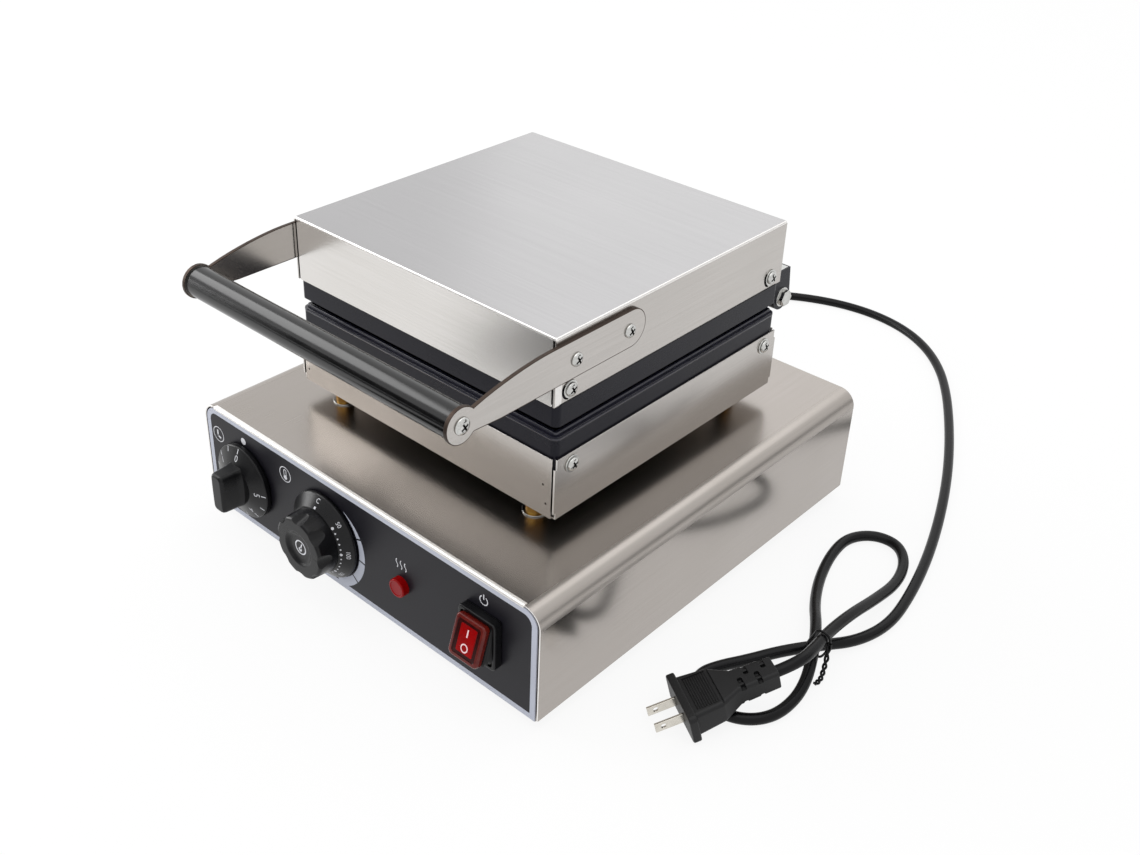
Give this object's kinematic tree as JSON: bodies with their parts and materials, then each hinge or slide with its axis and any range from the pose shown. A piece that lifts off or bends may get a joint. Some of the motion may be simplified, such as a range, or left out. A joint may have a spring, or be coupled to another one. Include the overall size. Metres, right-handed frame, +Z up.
{
  "type": "waffle maker",
  "caption": "Table-top electric waffle maker: steel base with timer, thermostat, lamp and rocker switch, a lower head on posts and a hinged upper head with a bar handle.",
  "frame": {"origin": "on the table under the middle of the object's bounding box, the free mains lead left out", "axes": "+X to the right of the control panel, +Y to the back, +Z up"},
  "size_m": [0.3994, 0.5972, 0.2118],
  "materials": {
    "stainless_sheet": "brushed",
    "plated_steel": "bright plated",
    "coated_casting": "black non-stick coating",
    "heating_element": "heat-tinted",
    "brass": "plain turned",
    "copper_tube": "plain drawn",
    "black_enamel": "gloss black",
    "black_plastic": "satin black",
    "printed_film": "satin charcoal print",
    "red_lens": "translucent red",
    "black_rubber": "matt black",
    "nickel": "bright nickel",
    "terminal_plastic": "natural",
    "coated_wire": "black coated"
  },
  "bodies": {
    "base": {"base_cover": "stainless_sheet", "front_panel": "stainless_sheet", "back_panel": "stainless_sheet", "control_fascia": "printed_film", "bottom_plate": "stainless_sheet", "rubber_feet": "black_rubber", "foot_screws": "plated_steel", "foot_nuts": "plated_steel", "bottom_screws": "plated_steel", "timer_body": "plated_steel", "thermostat_body": "plated_steel", "lamp_lens": "red_lens", "lamp_body": "black_plastic", "lamp_nut": "plated_steel", "switch_frame": "black_plastic", "switch_body": "black_plastic", "terminal_block": "terminal_plastic", "support_posts": "brass", "post_bolts": "plated_steel", "post_nuts": "plated_steel", "wire_conduit": "plated_steel", "lower_housing": "stainless_sheet", "lower_plate": "coated_casting", "lower_heater": "heating_element", "lower_heater_clamp": "plated_steel", "lower_clamp_screws": "plated_steel", "lower_screws": "plated_steel", "lower_washers": "plated_steel", "hinge_bolts": "plated_steel", "hinge_nuts": "plated_steel", "strain_relief": "black_rubber", "strain_relief_nut": "black_plastic", "wiring_loom": "coated_wire", "thermostat_probe": "copper_tube", "mains_lead": "black_rubber", "plug_body": "black_rubber", "plug_blades": "nickel", "cord_tie": "coated_wire"},
    "lid": {"upper_plate": "coated_casting", "lid_cover": "stainless_sheet", "upper_heater": "heating_element", "upper_heater_clamp": "plated_steel", "upper_clamp_screws": "plated_steel", "left_arm": "stainless_sheet", "right_arm": "stainless_sheet", "handle_grip": "black_enamel", "handle_plugs": "black_plastic", "handle_screws": "plated_steel", "lid_screws": "plated_steel", "lid_washers": "plated_steel", "arm_screws": "plated_steel", "arm_nuts": "plated_steel"},
    "timer_dial": {"timer_knob": "black_plastic", "timer_shaft": "plated_steel"},
    "temperature_dial": {"temp_knob": "black_plastic", "thermostat_shaft": "plated_steel"},
    "rocker": {"rocker_cap": "red_lens", "rocker_skirt": "black_rubber"}
  },
  "joints": [
    {"name": "lid_hinge", "type": "hinge", "parent": "base", "child": "lid", "pos_m": [0, 0.1353, 0.153], "axis": [-1, 0, 0], "range_deg": [0, 100]},
    {"name": "timer_turn", "type": "hinge", "parent": "base", "child": "timer_dial", "pos_m": [-0.1082, -0.1424, 0.0423], "axis": [0, 1, 0], "range_deg": [0, 270]},
    {"name": "temperature_turn", "type": "hinge", "parent": "base", "child": "temperature_dial", "pos_m": [-0.0273, -0.1424, 0.0423], "axis": [0, 1, 0], "range_deg": [0, 270]},
    {"name": "rocker_tip", "type": "hinge", "parent": "base", "child": "rocker", "pos_m": [0.1082, -0.1466, 0.0465], "axis": [1, 0, 0], "range_deg": [0, 36]}
  ]
}
